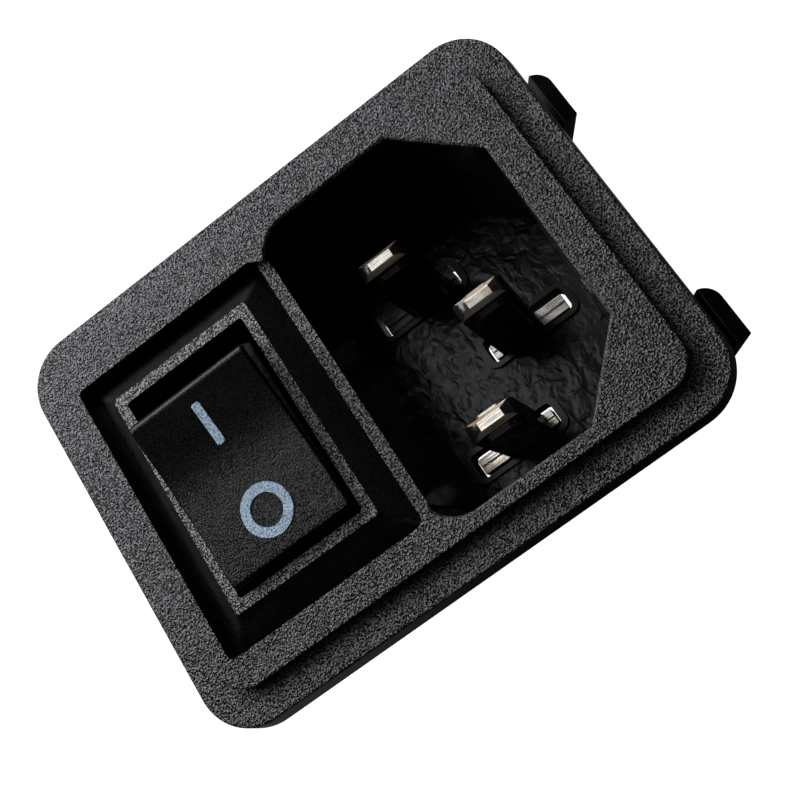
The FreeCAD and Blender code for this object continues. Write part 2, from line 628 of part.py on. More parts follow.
def rocker():
    """Hollow see-saw button: dished top, sloped ends, two cheeks with trunnions and two spring sockets."""
    half = ROCKER_WIDTH / 2
    outline = [
        (-ROCKER_TOP_HALF, ROCKER_TOP_HEIGHT),
        (-ROCKER_SKIRT_HALF, ROCKER_SKIRT_HEIGHT),
        (-ROCKER_HEEL_HALF, -ROCKER_HEEL_DROP),
        (ROCKER_HEEL_HALF, -ROCKER_HEEL_DROP),
        (ROCKER_SKIRT_HALF, ROCKER_SKIRT_HEIGHT),
        (ROCKER_TOP_HALF, ROCKER_TOP_HEIGHT),
    ]
    solid = side_profile(outline, -half, half).cut(dish(0))
    rounded = [edge for edge in solid.Edges if edge.BoundBox.ZMin > ROCKER_TOP_HEIGHT - ROCKER_DISH / 2]
    solid = solid.makeFillet(ROCKER_END_ROUND, rounded)
    arcs = [edge for edge in solid.Edges if isinstance(edge.Curve, Part.Circle)]
    long_arcs = [edge for edge in arcs if edge.BoundBox.YLength > ROCKER_TOP_HALF]
    solid = solid.makeFillet(ROCKER_SIDE_ROUND, long_arcs)

    inner_top = ROCKER_TOP_HEIGHT - ROCKER_DISH - ROCKER_ROOF
    hollow = [
        (ROCKER_SHELL - ROCKER_TOP_HALF, inner_top),
        (ROCKER_SHELL - ROCKER_SKIRT_HALF, ROCKER_SKIRT_HEIGHT),
        (ROCKER_SHELL - ROCKER_SKIRT_HALF, -ROCKER_HEEL_DROP),
        (ROCKER_SKIRT_HALF - ROCKER_SHELL, -ROCKER_HEEL_DROP),
        (ROCKER_SKIRT_HALF - ROCKER_SHELL, ROCKER_SKIRT_HEIGHT),
        (ROCKER_TOP_HALF - ROCKER_SHELL, inner_top),
    ]
    solid = solid.cut(side_profile(hollow, ROCKER_SHELL - half, half - ROCKER_SHELL))
    trunnion_end = CASE_WIDTH / 2 - TRUNNION_END_GAP
    for side in (-1, 1):
        inner, outer = sorted((side * (half - ROCKER_SHELL), side * trunnion_end))
        solid = solid.fuse(cross_rod(inner, outer, 0, 0, TRUNNION / 2))
        x = side * POLE_PITCH / 2
        tube = Part.makeCylinder(SOCKET / 2, inner_top + SOCKET_DROP, Vector(x, 0, -SOCKET_DROP))
        solid = solid.fuse(tube)
    for side in (-1, 1):
        x = side * POLE_PITCH / 2
        bore = PLUNGER / 2 + PLUNGER_PLAY
        depth = ROCKER_TOP_HEIGHT - ROCKER_DISH - SOCKET_ROOF + SOCKET_DROP
        solid = solid.cut(Part.makeCylinder(bore, depth, Vector(x, 0, -SOCKET_DROP)))
    return tilted(solid.removeSplitter())


def on_top(prism):
    """The thin layer of ink that a prism cuts out just above the rocker's dished top."""
    return tilted(prism.common(dish(MARK_GAP).cut(dish(MARK_GAP + MARK_THICKNESS))))


def on_mark():
    """A bar along the "on" side, its corners rounded."""
    low, high = BAR_Y - BAR_LENGTH / 2, BAR_Y + BAR_LENGTH / 2
    bar = rounded_block(-BAR_WIDTH / 2, BAR_WIDTH / 2, low, high, 0, ROCKER_TOP_HEIGHT, BAR_CORNER)
    return on_top(bar)


def off_mark():
    """A ring on the "off" side."""
    height = ROCKER_TOP_HEIGHT
    centre = Vector(0, RING_Y, 0)
    ring = Part.makeCylinder(RING_OUTSIDE / 2, height, centre)
    return on_top(ring.cut(Part.makeCylinder(RING_OUTSIDE / 2 - RING_STROKE, height, centre)))


def plunger(x):
    """A pin that slides in the rocker's socket: straight guide, taper and ball nose."""
    offset = x - SWITCH_X
    guide = Part.makeCylinder(
        PLUNGER / 2, PLUNGER_NECK_DROP - PLUNGER_TOP_DROP, Vector(offset, 0, -PLUNGER_NECK_DROP)
    )
    taper = Part.makeCone(
        PLUNGER_TIP, PLUNGER / 2, PLUNGER_REACH - PLUNGER_NECK_DROP, Vector(offset, 0, -PLUNGER_REACH)
    )
    nose = Part.makeSphere(PLUNGER_TIP, Vector(offset, 0, -PLUNGER_REACH))
    return tilted(guide.fuse([taper, nose]).removeSplitter())


def plunger_spring(x):
    """A coil spring between the plunger and the socket's closed end."""
    offset = x - SWITCH_X
    socket_top = ROCKER_TOP_HEIGHT - ROCKER_DISH - SOCKET_ROOF
    wire = SPRING_WIRE / 2
    low = SPRING_END_GAP + wire - PLUNGER_TOP_DROP
    height = socket_top - SPRING_END_GAP - wire - low
    radius = SPRING_OUTSIDE / 2 - wire
    path = Part.makeHelix(height / SPRING_TURNS, height, radius)
    start = Part.Wire(Part.makeCircle(wire, Vector(radius, 0, 0), Vector(0, 1, 0)))
    coil = Part.Wire(path.Edges).makePipeShell([start], True, True)
    coil.translate(Vector(offset, 0, low))
    return tilted(coil)


def swung(shape, x):
    """A piece of a contact arm, drawn level with the fulcrum at the origin, put in its place at rest."""
    shape.rotate(Vector(), X_AXIS, -ARM_TILT)
    shape.translate(Vector(x, 0, FULCRUM_Z))
    return shape


def contact_arm(x):
    """A straight copper see-saw, notched below to sit on its terminal's edge."""
    half = BLADE_WIDTH / 2
    arm = block(-half, half, -BLADE_LONG_END, BLADE_SHORT_END, BLADE_TOP - BLADE_THICKNESS, BLADE_TOP)
    return swung(arm.cut(cross_rod(-half, half, 0, 0, NOTCH)), x)


def arm_contact(x):
    """The silver button under the arm's long end."""
    top = BLADE_TOP - BLADE_THICKNESS
    centre = Vector(0, -CONTACT_Y, top - CONTACT_THICKNESS)
    return swung(Part.makeCylinder(CONTACT / 2, CONTACT_THICKNESS, centre), x)


def switch_tab(x, y):
    """A switch terminal's tab below the base."""
    return tab(
        x, y, SWITCH_TAB_WIDTH, BASE_REAR_Z,
        SWITCH_TAB_LENGTH, SWITCH_TAB_HOLE, SWITCH_TAB_CUT, TAB_HOLE_FROM_END
    )


def pivot_terminal(x):
    """The middle terminal: a tab through the base that narrows to the round edge the arm sits on."""
    edge = NOTCH - KNIFE_PLAY
    half = TAB_THICKNESS / 2
    taper_z = FULCRUM_Z - KNIFE_HEIGHT
    points = [
        (-edge, FULCRUM_Z),
        (-edge, taper_z),
        (-half, taper_z - KNIFE_TAPER),
        (-half, BASE_REAR_Z),
        (half, BASE_REAR_Z),
        (half, taper_z - KNIFE_TAPER),
        (edge, taper_z),
        (edge, FULCRUM_Z),
    ]
    x0, x1 = x - SWITCH_TAB_WIDTH / 2, x + SWITCH_TAB_WIDTH / 2
    post = side_profile(points, x0, x1)
    return post.fuse([cross_rod(x0, x1, 0, FULCRUM_Z, edge), switch_tab(x, 0)]).removeSplitter()


def switched_terminal(x):
    """The outer terminal: a tab through the base with a shelf folded over for the fixed contact."""
    x0, x1 = x - SWITCH_TAB_WIDTH / 2, x + SWITCH_TAB_WIDTH / 2
    back = -SWITCH_TAB_Y - TAB_THICKNESS / 2
    post = block(x0, x1, back, back + TAB_THICKNESS, BASE_REAR_Z, SHELF_TOP_Z)
    front = SHELF_MARGIN + CONTACT / 2 - FIXED_Y
    shelf = block(x0, x1, back, front, SHELF_TOP_Z - SHELF_THICKNESS, SHELF_TOP_Z)
    return post.fuse([shelf, switch_tab(x, -SWITCH_TAB_Y)]).removeSplitter()


def fixed_contact(x):
    """The silver button on the shelf."""
    return Part.makeCylinder(CONTACT / 2, CONTACT_THICKNESS, Vector(x, -FIXED_Y, SHELF_TOP_Z))


def build():
    """Every sub-part by its node name."""
    nodes = {"housing": housing(), "switch_case": switch_case(), "switch_base": switch_base()}
    for name, pin_x, y, shoulder_x, tip_z in terminal_places():
        nodes[name] = inlet_terminal(pin_x, y, shoulder_x, tip_z)
    nodes["rocker"] = rocker()
    nodes["on_mark"] = on_mark()
    nodes["off_mark"] = off_mark()
    makers = [
        plunger, plunger_spring, contact_arm, arm_contact,
        pivot_terminal, switched_terminal, fixed_contact
    ]
    for letter, x in poles():
        for maker in makers:
            nodes[f"{maker.__name__}_{letter}"] = maker(x)
    return nodes


os.makedirs("parts", exist_ok=True)
for node, shape in build().items():
    if len(shape.Solids) != 1 or not shape.isValid():
        raise SystemExit(f"{node}: {len(shape.Solids)} solids, valid {shape.isValid()}")
    shape.exportStep(f"parts/{node}.step")
    print(node, round(shape.Volume, 3))
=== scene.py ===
"""Looks of a panel-mount appliance inlet with a rocker switch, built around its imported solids.

Lengths are in metres, in the part's own frame: +Z out of the face towards the user, +X along the
flange from the switch to the inlet, +Y towards the rocker's "on" side.
"""
import json
import math

import bpy
import numpy as np
from mathutils import Euler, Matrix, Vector

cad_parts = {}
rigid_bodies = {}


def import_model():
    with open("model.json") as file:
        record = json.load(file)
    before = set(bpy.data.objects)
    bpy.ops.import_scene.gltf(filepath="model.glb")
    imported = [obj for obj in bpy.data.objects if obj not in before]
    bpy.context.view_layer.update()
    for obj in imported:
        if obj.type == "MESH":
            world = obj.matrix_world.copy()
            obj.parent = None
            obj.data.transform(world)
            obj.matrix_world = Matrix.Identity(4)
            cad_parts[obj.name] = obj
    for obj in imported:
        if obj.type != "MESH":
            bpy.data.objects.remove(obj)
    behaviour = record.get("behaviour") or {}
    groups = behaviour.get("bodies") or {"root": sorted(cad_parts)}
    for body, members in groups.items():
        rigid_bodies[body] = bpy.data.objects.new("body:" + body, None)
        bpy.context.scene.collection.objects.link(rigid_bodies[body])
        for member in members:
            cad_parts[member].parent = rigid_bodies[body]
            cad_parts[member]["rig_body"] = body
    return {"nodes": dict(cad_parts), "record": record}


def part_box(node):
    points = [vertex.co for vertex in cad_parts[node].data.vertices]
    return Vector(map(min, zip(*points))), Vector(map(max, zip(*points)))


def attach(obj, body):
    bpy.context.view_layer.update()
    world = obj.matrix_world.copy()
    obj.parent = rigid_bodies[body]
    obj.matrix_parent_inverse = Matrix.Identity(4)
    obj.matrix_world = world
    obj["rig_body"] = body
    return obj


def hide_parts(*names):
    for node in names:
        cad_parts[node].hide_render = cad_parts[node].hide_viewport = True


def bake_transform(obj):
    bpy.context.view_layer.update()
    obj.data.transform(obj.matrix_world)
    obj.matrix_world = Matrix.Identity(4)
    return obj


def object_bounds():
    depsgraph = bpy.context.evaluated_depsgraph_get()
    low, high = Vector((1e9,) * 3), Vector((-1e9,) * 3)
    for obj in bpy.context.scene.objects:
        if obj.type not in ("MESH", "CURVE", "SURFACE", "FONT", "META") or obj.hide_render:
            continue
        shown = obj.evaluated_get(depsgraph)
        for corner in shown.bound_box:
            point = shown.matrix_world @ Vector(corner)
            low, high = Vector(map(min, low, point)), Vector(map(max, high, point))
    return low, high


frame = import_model()
cad_low, cad_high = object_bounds()
MM = 0.001

# Camera, as the photograph was taken
CAMERA_PLACE = (0.01437, -0.02242, 0.07338)
CAMERA_TURN_DEG = (9.400, 15.886, -34.171)
CAMERA_LENS_MM = 51.427
CAMERA_SENSOR_MM = 36.0
CAMERA_SHIFT = (-0.0180, -0.0676)
CAMERA_NEAR, CAMERA_FAR = 0.001, 10.0

# Studio
BACKDROP_SIZE = 6.0
BACKDROP_GAP = 0.2 * MM
BACKDROP_GREY = 0.14
BACKDROP_ROUGHNESS = 0.9
BACKDROP_GLOW = 1.1
ROOM_LEVEL = 0.02
LIGHTS = {
    "left": dict(azimuth=103.0, elevation=28.0, distance=0.09, size=(0.052, 0.045), power=0.052),
    "key": dict(azimuth=142.0, elevation=32.0, distance=0.09, size=(0.052, 0.045), power=0.065),
    "high": dict(azimuth=100.0, elevation=50.0, distance=0.12, size=(0.07, 0.06), power=0.022),
    "patch": dict(azimuth=128.0, elevation=61.0, distance=0.25, size=(0.03, 0.03), power=0.009),
    "blades": dict(azimuth=120.0, elevation=77.0, distance=0.25, size=(0.04, 0.04), power=0.012),
}

# Heights that tell the surfaces apart, and the bands round them that a mask takes in
FACE_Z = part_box("housing")[1].z
BEZEL_TOP_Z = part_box("switch_case")[1].z
CAVITY_FLOOR_Z = FACE_Z - 17.8 * MM
MATTE_LOW_Z = FACE_Z - 1.3 * MM
RUB_LOW_Z = FACE_Z - 2.6 * MM
FLOOR_BAND = 0.2 * MM
FRAME_BAND = 0.15 * MM
SKIRT_BAND = 2.0 * MM
SHADE_BELOW_FLOOR = 1.0 * MM
TERMINAL_TOP_BAND = 3.0 * MM
TIP_BEVEL_BAND = 0.6 * MM
FOOT_DROP = 6.0 * MM

# Upward parts of a face's normal, between which a mask goes from none to full
FACE_LEVELS = (0.55, 0.9)
FRAME_LEVELS = (0.6, 0.95)
ROCKER_LEVELS = (0.8, 0.93)
UPRIGHT_LEVELS = (0.1, 0.35)
LEVEL_FACE = 0.9
LEANING_FACE = 0.2
SHOULDER_FACE = 0.06

# Strengths of the partly masked places, and where the rocker's grain begins to grow and is full,
# towards -Y
SKIRT_GRAIN = 0.05
PANEL_SHADE = 0.75
FOOT_SHADE = 0.8
ROCKER_LEAST_GRAIN = 0.10
ROCKER_GRAIN_RISE = (-2.0 * MM, 6.5 * MM)

# Cleaning of a solid's triangles before its edges are rounded
WELD_GAP = 1e-6
FLAT_ANGLE = 0.01
SHARP_ANGLE = math.radians(28)
ROOM_FOR_EDGE = 2.2
EDGE_RADII = {"housing": 0.06 * MM, "switch_case": 0.045 * MM, "rocker": 0.06 * MM}
EDGE_RADIUS = 0.04 * MM
EDGE_SEGMENTS = 2

# Springs: the plunger that each one presses on
PLUNGER_OF = {"plunger_spring_a": "plunger_a", "plunger_spring_b": "plunger_b"}

# Eroded grain: sizes and shares of its layers, and the heights that get a painted highlight on the
# crests or painted shade in the pits
FINE_SCALE = 1.9
BROAD_SCALE = 0.22
SPECK_SCALE = 2.2
PEBBLE_SHARE = -0.45
BROAD_SHARE = 0.15
SALT_SHARE = 0.6
SALT_LEVELS = (0.58, 0.78)
PIT_SHADE_LEVELS = (0.42, 0.22)

# Ripples of the cavity's floor
RIPPLE_STRETCH = (1.0, 0.75, 1.0)
RIPPLE_SCALE = 950.0
RIPPLE_DEPTH = 1.0e-4
FLOOR_ROUGHNESS = 0.24

# Edges with rubbing wear and a painted highlight, dust and the plastic's uneven polish
RUB_LEVELS = (0.38, 0.72)
RUB_POLISH = -0.1
SPECK_MIDDLE = (0.12, 0.05)
SPECK_PICK = (0.86, 0.9)
FILM_SCALE = 240.0
FILM_LEVELS = (0.5, 0.85)
FILM_MOST = 0.12
SWIRL_SCALE = 320.0
SWIRL_LEVELS = (0.3, 0.7)
SWIRL_ROUGHNESS = 0.04

# Stamped metal, with painted shade in the cavity and a painted reflection on the tip bevels
STREAK_STRETCH = (500.0, 9000.0, 1200.0)
DENT_SCALE = 2600.0
DENT_SHARE = 0.8
DULL_LEVELS = (0.45, 0.7)
STREAK_LEVELS = (0.3, 0.7)
STREAK_ROUGHNESS = (-0.06, 0.08)
REFLECTION_STREAK_LEVELS = (0.4, 0.6)
BEVEL_ROUGHENING = 0.3
METAL_LOST_IN_SHADE = -0.8

# Printed ink
INK_GRAIN = 4200.0
INK_DEPTH = 5e-5
INK_ROUGHNESS = 0.55
INK_COLOURS = ((0.15, 0.21, 0.29, 1), (0.42, 0.56, 0.72, 1))


def slot_of(node):
    """The record's material slot of a solid."""
    parts = frame["record"]["subparts"]
    return next(part["material_slot"] for part in parts if part["node"] == node)


def new_object(name, data):
    """A new object, in the scene."""
    item = bpy.data.objects.new(name, data)
    bpy.context.scene.collection.objects.link(item)
    return item


def read_values(items, name, width=1, kind=float):
    """One property of every item of a mesh, as an array with a row for each item."""
    values = np.empty(len(items) * width, kind)
    items.foreach_get(name, values)
    return values if width == 1 else values.reshape(-1, width)


def polygon_table(mesh):
    """Each polygon's normal and centre, as arrays."""
    return read_values(mesh.polygons, "normal", 3), read_values(mesh.polygons, "center", 3)


def keep_mask(mesh, name, values, domain="FACE"):
    """Stores a mask from 0 to 1 on a mesh, for its material to read."""
    layer = mesh.attributes.new(name, "FLOAT", domain)
    layer.data.foreach_set("value", np.clip(values, 0, 1).astype(np.float32))


def ramp(values, low, high):
    """0 below low, 1 above high, and smooth between: t*t*(3 - 2t)."""
    t = np.clip((values - low) / (high - low), 0, 1)
    return t * t * (3 - 2 * t)


def face_turns(mesh):
    """The angle between the two faces of each edge, or 0 where an edge hasn't exactly two."""
    loop_edge = read_values(mesh.loops, "edge_index", kind=np.int64)
    totals = read_values(mesh.polygons, "loop_total", kind=np.int64)
    loop_polygon = np.repeat(np.arange(len(totals)), totals)
    order = np.argsort(loop_edge, kind="stable")
    uses = np.bincount(loop_edge, minlength=len(mesh.edges))
    starts = np.concatenate([[0], np.cumsum(uses)[:-1]])
    paired = uses == 2
    first = loop_polygon[order[starts[paired]]]
    second = loop_polygon[order[starts[paired] + 1]]
    normals = read_values(mesh.polygons, "normal", 3)
    turns = np.zeros(len(mesh.edges))
    turns[paired] = np.arccos(np.clip((normals[first] * normals[second]).sum(1), -1, 1))
    return turns


def shortest_beside(mesh):
    """For each edge, the length of the shortest edge that shares one of its ends."""
    ends = read_values(mesh.edges, "vertices", 2, np.int64)
    points = read_values(mesh.vertices, "co", 3)
    lengths = np.linalg.norm(points[ends[:, 0]] - points[ends[:, 1]], axis=1)
    shortest = np.full(len(points), np.inf)
    for end in ends.T:
        np.minimum.at(shortest, end, lengths)
    return shortest[ends].min(1)


def weigh_sharp_edges(mesh, radius):
    """Marks the sharp edges: for rounding where both ends have room, and elsewhere so that the
    shading breaks there."""
    sharp = face_turns(mesh) > SHARP_ANGLE
    roomy = shortest_beside(mesh) > ROOM_FOR_EDGE * radius
    keep_mask(mesh, "bevel_weight_edge", sharp & roomy, "EDGE")
    known = mesh.attributes.get("sharp_edge")
    kept_sharp = known or mesh.attributes.new("sharp_edge", "BOOLEAN", "EDGE")
    kept_sharp.data.foreach_set("value", sharp & ~roomy)


def applied_mesh(item):
    """A new mesh of an object with its modifiers applied."""
    graph = bpy.context.evaluated_depsgraph_get()
    return bpy.data.meshes.new_from_object(item.evaluated_get(graph))


def joined_flats(draft):
    """An object's mesh with doubles merged and flat faces joined, all in the first of two slots."""
    draft.modifiers.new("weld", "WELD").merge_threshold = WELD_GAP
    flatten = draft.modifiers.new("flatten", "DECIMATE")
    flatten.decimate_type = "DISSOLVE"
    flatten.angle_limit = FLAT_ANGLE
    mesh = applied_mesh(draft)
    draft.modifiers.clear()
    mesh.materials.clear()
    for _ in range(2):
        mesh.materials.append(None)
    mesh.polygons.foreach_set("material_index", np.zeros(len(mesh.polygons), np.int32))
    return mesh


def rounded_edges(draft, radius):
    """An object's mesh with its weighted edges rounded, and the strips in the second slot."""
    bevel = draft.modifiers.new("bevel", "BEVEL")
    bevel.width = radius
    bevel.segments = EDGE_SEGMENTS
    bevel.limit_method = "WEIGHT"
    bevel.use_clamp_overlap = False
    bevel.material = 1
    shade = draft.modifiers.new("shade", "WEIGHTED_NORMAL")
    shade.weight = 100
    shade.keep_sharp = True
    return applied_mesh(draft)


def dressed_copy(node):
    """A copy of a solid with its roomy sharp edges rounded, and the strips in the mask "rim"."""
    source = frame["nodes"][node]
    radius = EDGE_RADII.get(node, EDGE_RADIUS)
    draft = new_object(node + "_draft", source.data.copy())
    draft.data = joined_flats(draft)
    weigh_sharp_edges(draft.data, radius)
    mesh = rounded_edges(draft, radius)
    bpy.data.objects.remove(draft)
    mesh.name = node + "_looks"
    keep_mask(mesh, "rim", read_values(mesh.polygons, "material_index", kind=np.int32))
    mesh.polygons.foreach_set("material_index", np.zeros(len(mesh.polygons), np.int32))
    mesh.materials.clear()
    piece = new_object(mesh.name, mesh)
    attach(piece, source["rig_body"])
    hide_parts(node)
    return piece


def squeezed_spring(node):
    """A copy of a spring, in place of its solid."""
    piece = new_object(node + "_looks", frame["nodes"][node].data.copy())
    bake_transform(piece)
    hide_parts(node)
    return piece


def feed(tree, item, inputs):
    """Gives each of a node's sockets its value, or links it to another node's output."""
    for name, value in inputs.items():
        if isinstance(value, bpy.types.NodeSocket):
            tree.links.new(value, item.inputs[name])
        else:
            item.inputs[name].default_value = value


def add_node(tree, kind, inputs=None, **settings):
    """A shader node with its settings and its inputs."""
    item = tree.nodes.new("ShaderNode" + kind)
    for name, value in settings.items():
        setattr(item, name, value)
    feed(tree, item, inputs or {})
    return item


def calculate(tree, operation, first, second=0.5, third=0.5):
    """One sum on numbers: its output socket."""
    item = add_node(tree, "Math", {0: first, 1: second, 2: third}, operation=operation)
    return item.outputs[0]


def blend_colours(tree, factor, first, second):
    """Two colours mixed by a factor: the output socket."""
    item = add_node(tree, "Mix", data_type="RGBA")
    feed(tree, item, {0: factor, 6: first, 7: second})
    return item.outputs[2]


def blend_numbers(tree, factor, first, second):
    """Two numbers mixed by a factor: the output socket."""
    return add_node(tree, "Mix", {"Factor": factor, "A": first, "B": second}).outputs["Result"]


def between(tree, value, low, high, to_low=0.0, to_high=1.0):
    """A value carried smoothly from one range to another, held at its ends."""
    ends = {"From Min": low, "From Max": high, "To Min": to_low, "To Max": to_high}
    item = add_node(tree, "MapRange", {"Value": value, **ends}, interpolation_type="SMOOTHSTEP")
    return item.outputs["Result"]


def noise(tree, place, scale, **inputs):
    """A smooth random pattern from 0 to 1: its output socket."""
    item = add_node(tree, "TexNoise", {"Vector": place, "Scale": scale, **inputs})
    return item.outputs["Fac"]


def raised(tree, height, distance, **inputs):
    """The normal of a surface that a height has raised: the output socket."""
    item = add_node(
        tree, "Bump", {"Strength": 1.0, "Distance": distance, "Height": height, **inputs}
    )
    return item.outputs["Normal"]


def begin_group(name, inputs, outputs):
    """An empty shader group. Inputs come with a starting value, None for a vector; outputs with
    their kind."""
    tree = bpy.data.node_groups.new(name, "ShaderNodeTree")
    for label, value in inputs.items():
        kind = "Vector" if value is None else "Float"
        socket = tree.interface.new_socket(label, in_out="INPUT", socket_type="NodeSocket" + kind)
        if value is not None:
            socket.default_value = value
    for label, kind in outputs.items():
        tree.interface.new_socket(label, in_out="OUTPUT", socket_type="NodeSocket" + kind)
    return tree, tree.nodes.new("NodeGroupInput").outputs, tree.nodes.new("NodeGroupOutput")


def eroded_grain_group():
    """Spark-eroded mould texture: rounded pebbles of about one size, with pits between; it gives
    masks for a painted highlight on the crests and painted shade in the pits.
    """
    tree, given, result = begin_group(
        "eroded_grain",
        {"Vector": None, "Grain": 4000.0, "Depth": 5e-5, "Matte": 1.0},
        {"Normal": "Vector", "Salt": "Float", "PitShade": "Float"},
    )
    place, grain, matte = given["Vector"], given["Grain"], given["Matte"]
    fine = calculate(tree, "MULTIPLY", grain, FINE_SCALE)
    waves = noise(tree, place, fine, Detail=1.0, Roughness=0.5)
    pebbles = add_node(tree, "TexVoronoi", {"Vector": place, "Scale": fine, "Randomness": 1.0})
    bumps = calculate(tree, "MULTIPLY_ADD", pebbles.outputs["Distance"], PEBBLE_SHARE, waves)
    broad = noise(tree, place, calculate(tree, "MULTIPLY", grain, BROAD_SCALE), Detail=1.0)
    height = calculate(tree, "MULTIPLY_ADD", broad, BROAD_SHARE, bumps)
    masked = calculate(tree, "MULTIPLY", height, matte)
    specks = noise(tree, place, calculate(tree, "MULTIPLY", grain, SPECK_SCALE), Detail=1.0)
    crests = calculate(tree, "MULTIPLY_ADD", height, SALT_SHARE, specks)
    feed(tree, result, {
        "Normal": raised(tree, masked, given["Depth"]),
        "Salt": between(tree, crests, *SALT_LEVELS),
        "PitShade": calculate(tree, "MULTIPLY", between(tree, height, *PIT_SHADE_LEVELS), matte),
    })
    return tree


def flow_marks_group():
    """Soft ripples of melt that froze against a polished mould."""
    tree, given, result = begin_group(
        "flow_marks", {"Vector": None, "Normal": None, "Floor": 0.0}, {"Normal": "Vector"}
    )
    stretched = add_node(tree, "Mapping", {"Vector": given["Vector"], "Scale": RIPPLE_STRETCH})
    ripples = noise(
        tree, stretched.outputs[0], RIPPLE_SCALE, Detail=2.0, Roughness=0.45, Distortion=0.5
    )
    height = calculate(tree, "MULTIPLY", ripples, given["Floor"])
    feed(tree, result, {"Normal": raised(tree, height, RIPPLE_DEPTH, Normal=given["Normal"])})
    return tree


def rubbed_and_lit_edge_group():
    """Where handling has polished the edges, and where they carry a painted highlight: the rounded
    strips, broken up by noise.
    """
    tree, given, result = begin_group(
        "rubbed_and_lit_edge", {"Vector": None, "Rim": 0.0, "Break": 900.0}, {"Mask": "Float"}
    )
    patches = noise(tree, given["Vector"], given["Break"], Detail=3.0, Roughness=0.65)
    ramped = between(tree, patches, *RUB_LEVELS)
    feed(tree, result, {"Mask": calculate(tree, "MULTIPLY", ramped, given["Rim"])})
    return tree


def settled_dust_group():
    """Specks of pale dust: the middles of a few cells of a scattered pattern, and a faint film."""
    tree, given, result = begin_group(
        "settled_dust", {"Vector": None, "Specks": 1100.0, "Amount": 0.5}, {"Mask": "Float"}
    )
    place = given["Vector"]
    cells = add_node(tree, "TexVoronoi", {"Vector": place, "Scale": given["Specks"]})
    middle = between(tree, cells.outputs["Distance"], *SPECK_MIDDLE)
    pick = add_node(tree, "SeparateColor", {"Color": cells.outputs["Color"]})
    few = between(tree, pick.outputs["Red"], *SPECK_PICK)
    specks = calculate(tree, "MULTIPLY", middle, few)
    haze = between(tree, noise(tree, place, FILM_SCALE, Detail=4.0), *FILM_LEVELS, 0.0, FILM_MOST)
    both = calculate(tree, "ADD", specks, haze)
    feed(tree, result, {"Mask": calculate(tree, "MULTIPLY", both, given["Amount"])})
    return tree


def drawn_metal_group():
    """Stamped strip: fine streaks along it, small dents, and blotches of duller finish."""
    tree, given, result = begin_group(
        "drawn_metal",
        {"Vector": None, "Depth": 4e-6, "Blotch": 700.0},
        {"Normal": "Vector", "Streaks": "Float", "Dull": "Float"},
    )
    place = given["Vector"]
    along = add_node(tree, "Mapping", {"Vector": place, "Scale": STREAK_STRETCH})
    streaks = noise(tree, along.outputs[0], 1.0, Detail=2.0)
    dents = noise(tree, place, DENT_SCALE, Detail=2.0)
    height = calculate(tree, "MULTIPLY_ADD", dents, DENT_SHARE, streaks)
    blotches = noise(tree, place, given["Blotch"], Detail=4.0, Roughness=0.6)
    feed(tree, result, {
        "Normal": raised(tree, height, given["Depth"]),
        "Streaks": streaks,
        "Dull": between(tree, blotches, *DULL_LEVELS),
    })
    return tree


GRAIN = eroded_grain_group()
FLOW = flow_marks_group()
RUB_AND_EDGE_LIGHT = rubbed_and_lit_edge_group()
DUST = settled_dust_group()
DRAWN = drawn_metal_group()


def use_group(tree, group, inputs):
    """Places a shared effect in a material with its own values: its output sockets."""
    return add_node(tree, "Group", inputs, node_tree=group).outputs


def begin_material(name):
    """A material with its Principled shader, and the piece's own coordinates."""
    material = bpy.data.materials.new(name)
    material.use_nodes = True
    tree = material.node_tree
    place = tree.nodes.new("ShaderNodeTexCoord").outputs["Object"]
    return material, tree, tree.nodes["Principled BSDF"], place


def read_mask(tree, name):
    """The mesh's own mask: its output socket."""
    item = add_node(tree, "Attribute", attribute_name=name, attribute_type="GEOMETRY")
    return item.outputs["Fac"]


def grey(level, warm=0.0):
    """A near-neutral colour, warmed or cooled a little."""
    return (level * (1 + warm), level, level * (1 - warm), 1.0)


def moulded_plastic(
    name, *, matte, smooth, pit_shade, rubbed_and_lit, dusty, grain, depth, matte_rough, smooth_rough, dust, shine
):
    """Moulded plastic: eroded matte faces, glossy walls, pits in painted shade, edges with rubbing
    wear and a painted highlight, and a little dust.

    The matte colour and roughness are pairs, between the grain's valleys and its crests; the pale
    crest colour is a painted highlight.
    """
    material, tree, shader, place = begin_material(name)
    on_matte = read_mask(tree, "matte")
    floor = read_mask(tree, "floor")
    texture = use_group(
        tree, GRAIN, {"Vector": place, "Grain": grain, "Depth": depth, "Matte": on_matte}
    )
    rub_and_edge_light = use_group(tree, RUB_AND_EDGE_LIGHT, {"Vector": place, "Rim": read_mask(tree, "rim")})["Mask"]
    dusting = use_group(tree, DUST, {"Vector": place, "Amount": dust})["Mask"]

    # Painted highlight: the grain's crests take the pale second matte colour
    grainy = blend_colours(tree, texture["Salt"], *matte)
    colour = blend_colours(tree, on_matte, smooth, grainy)
    # Painted shade: the pits take the colour of the pits
    colour = blend_colours(tree, texture["PitShade"], colour, pit_shade)
    # Rubbing wear and a painted edge highlight, on the rounded strips
    colour = blend_colours(tree, rub_and_edge_light, colour, rubbed_and_lit)
    colour = blend_colours(tree, dusting, colour, dusty)

    swirl = noise(tree, place, SWIRL_SCALE, Detail=3.0)
    uneven = between(tree, swirl, *SWIRL_LEVELS, -SWIRL_ROUGHNESS, SWIRL_ROUGHNESS)
    grainy_rough = between(tree, texture["Salt"], 0.0, 1.0, *matte_rough)
    rough = blend_numbers(tree, on_matte, smooth_rough, grainy_rough)
    rough = calculate(tree, "MULTIPLY_ADD", rub_and_edge_light, RUB_POLISH, calculate(tree, "ADD", rough, uneven))

    ripples = use_group(tree, FLOW, {"Vector": place, "Normal": texture["Normal"], "Floor": floor})
    feed(tree, shader, {
        "Base Color": colour,
        "Roughness": blend_numbers(tree, floor, rough, FLOOR_ROUGHNESS),
        "Normal": ripples["Normal"],
        "Specular IOR Level": shine,
    })
    return material


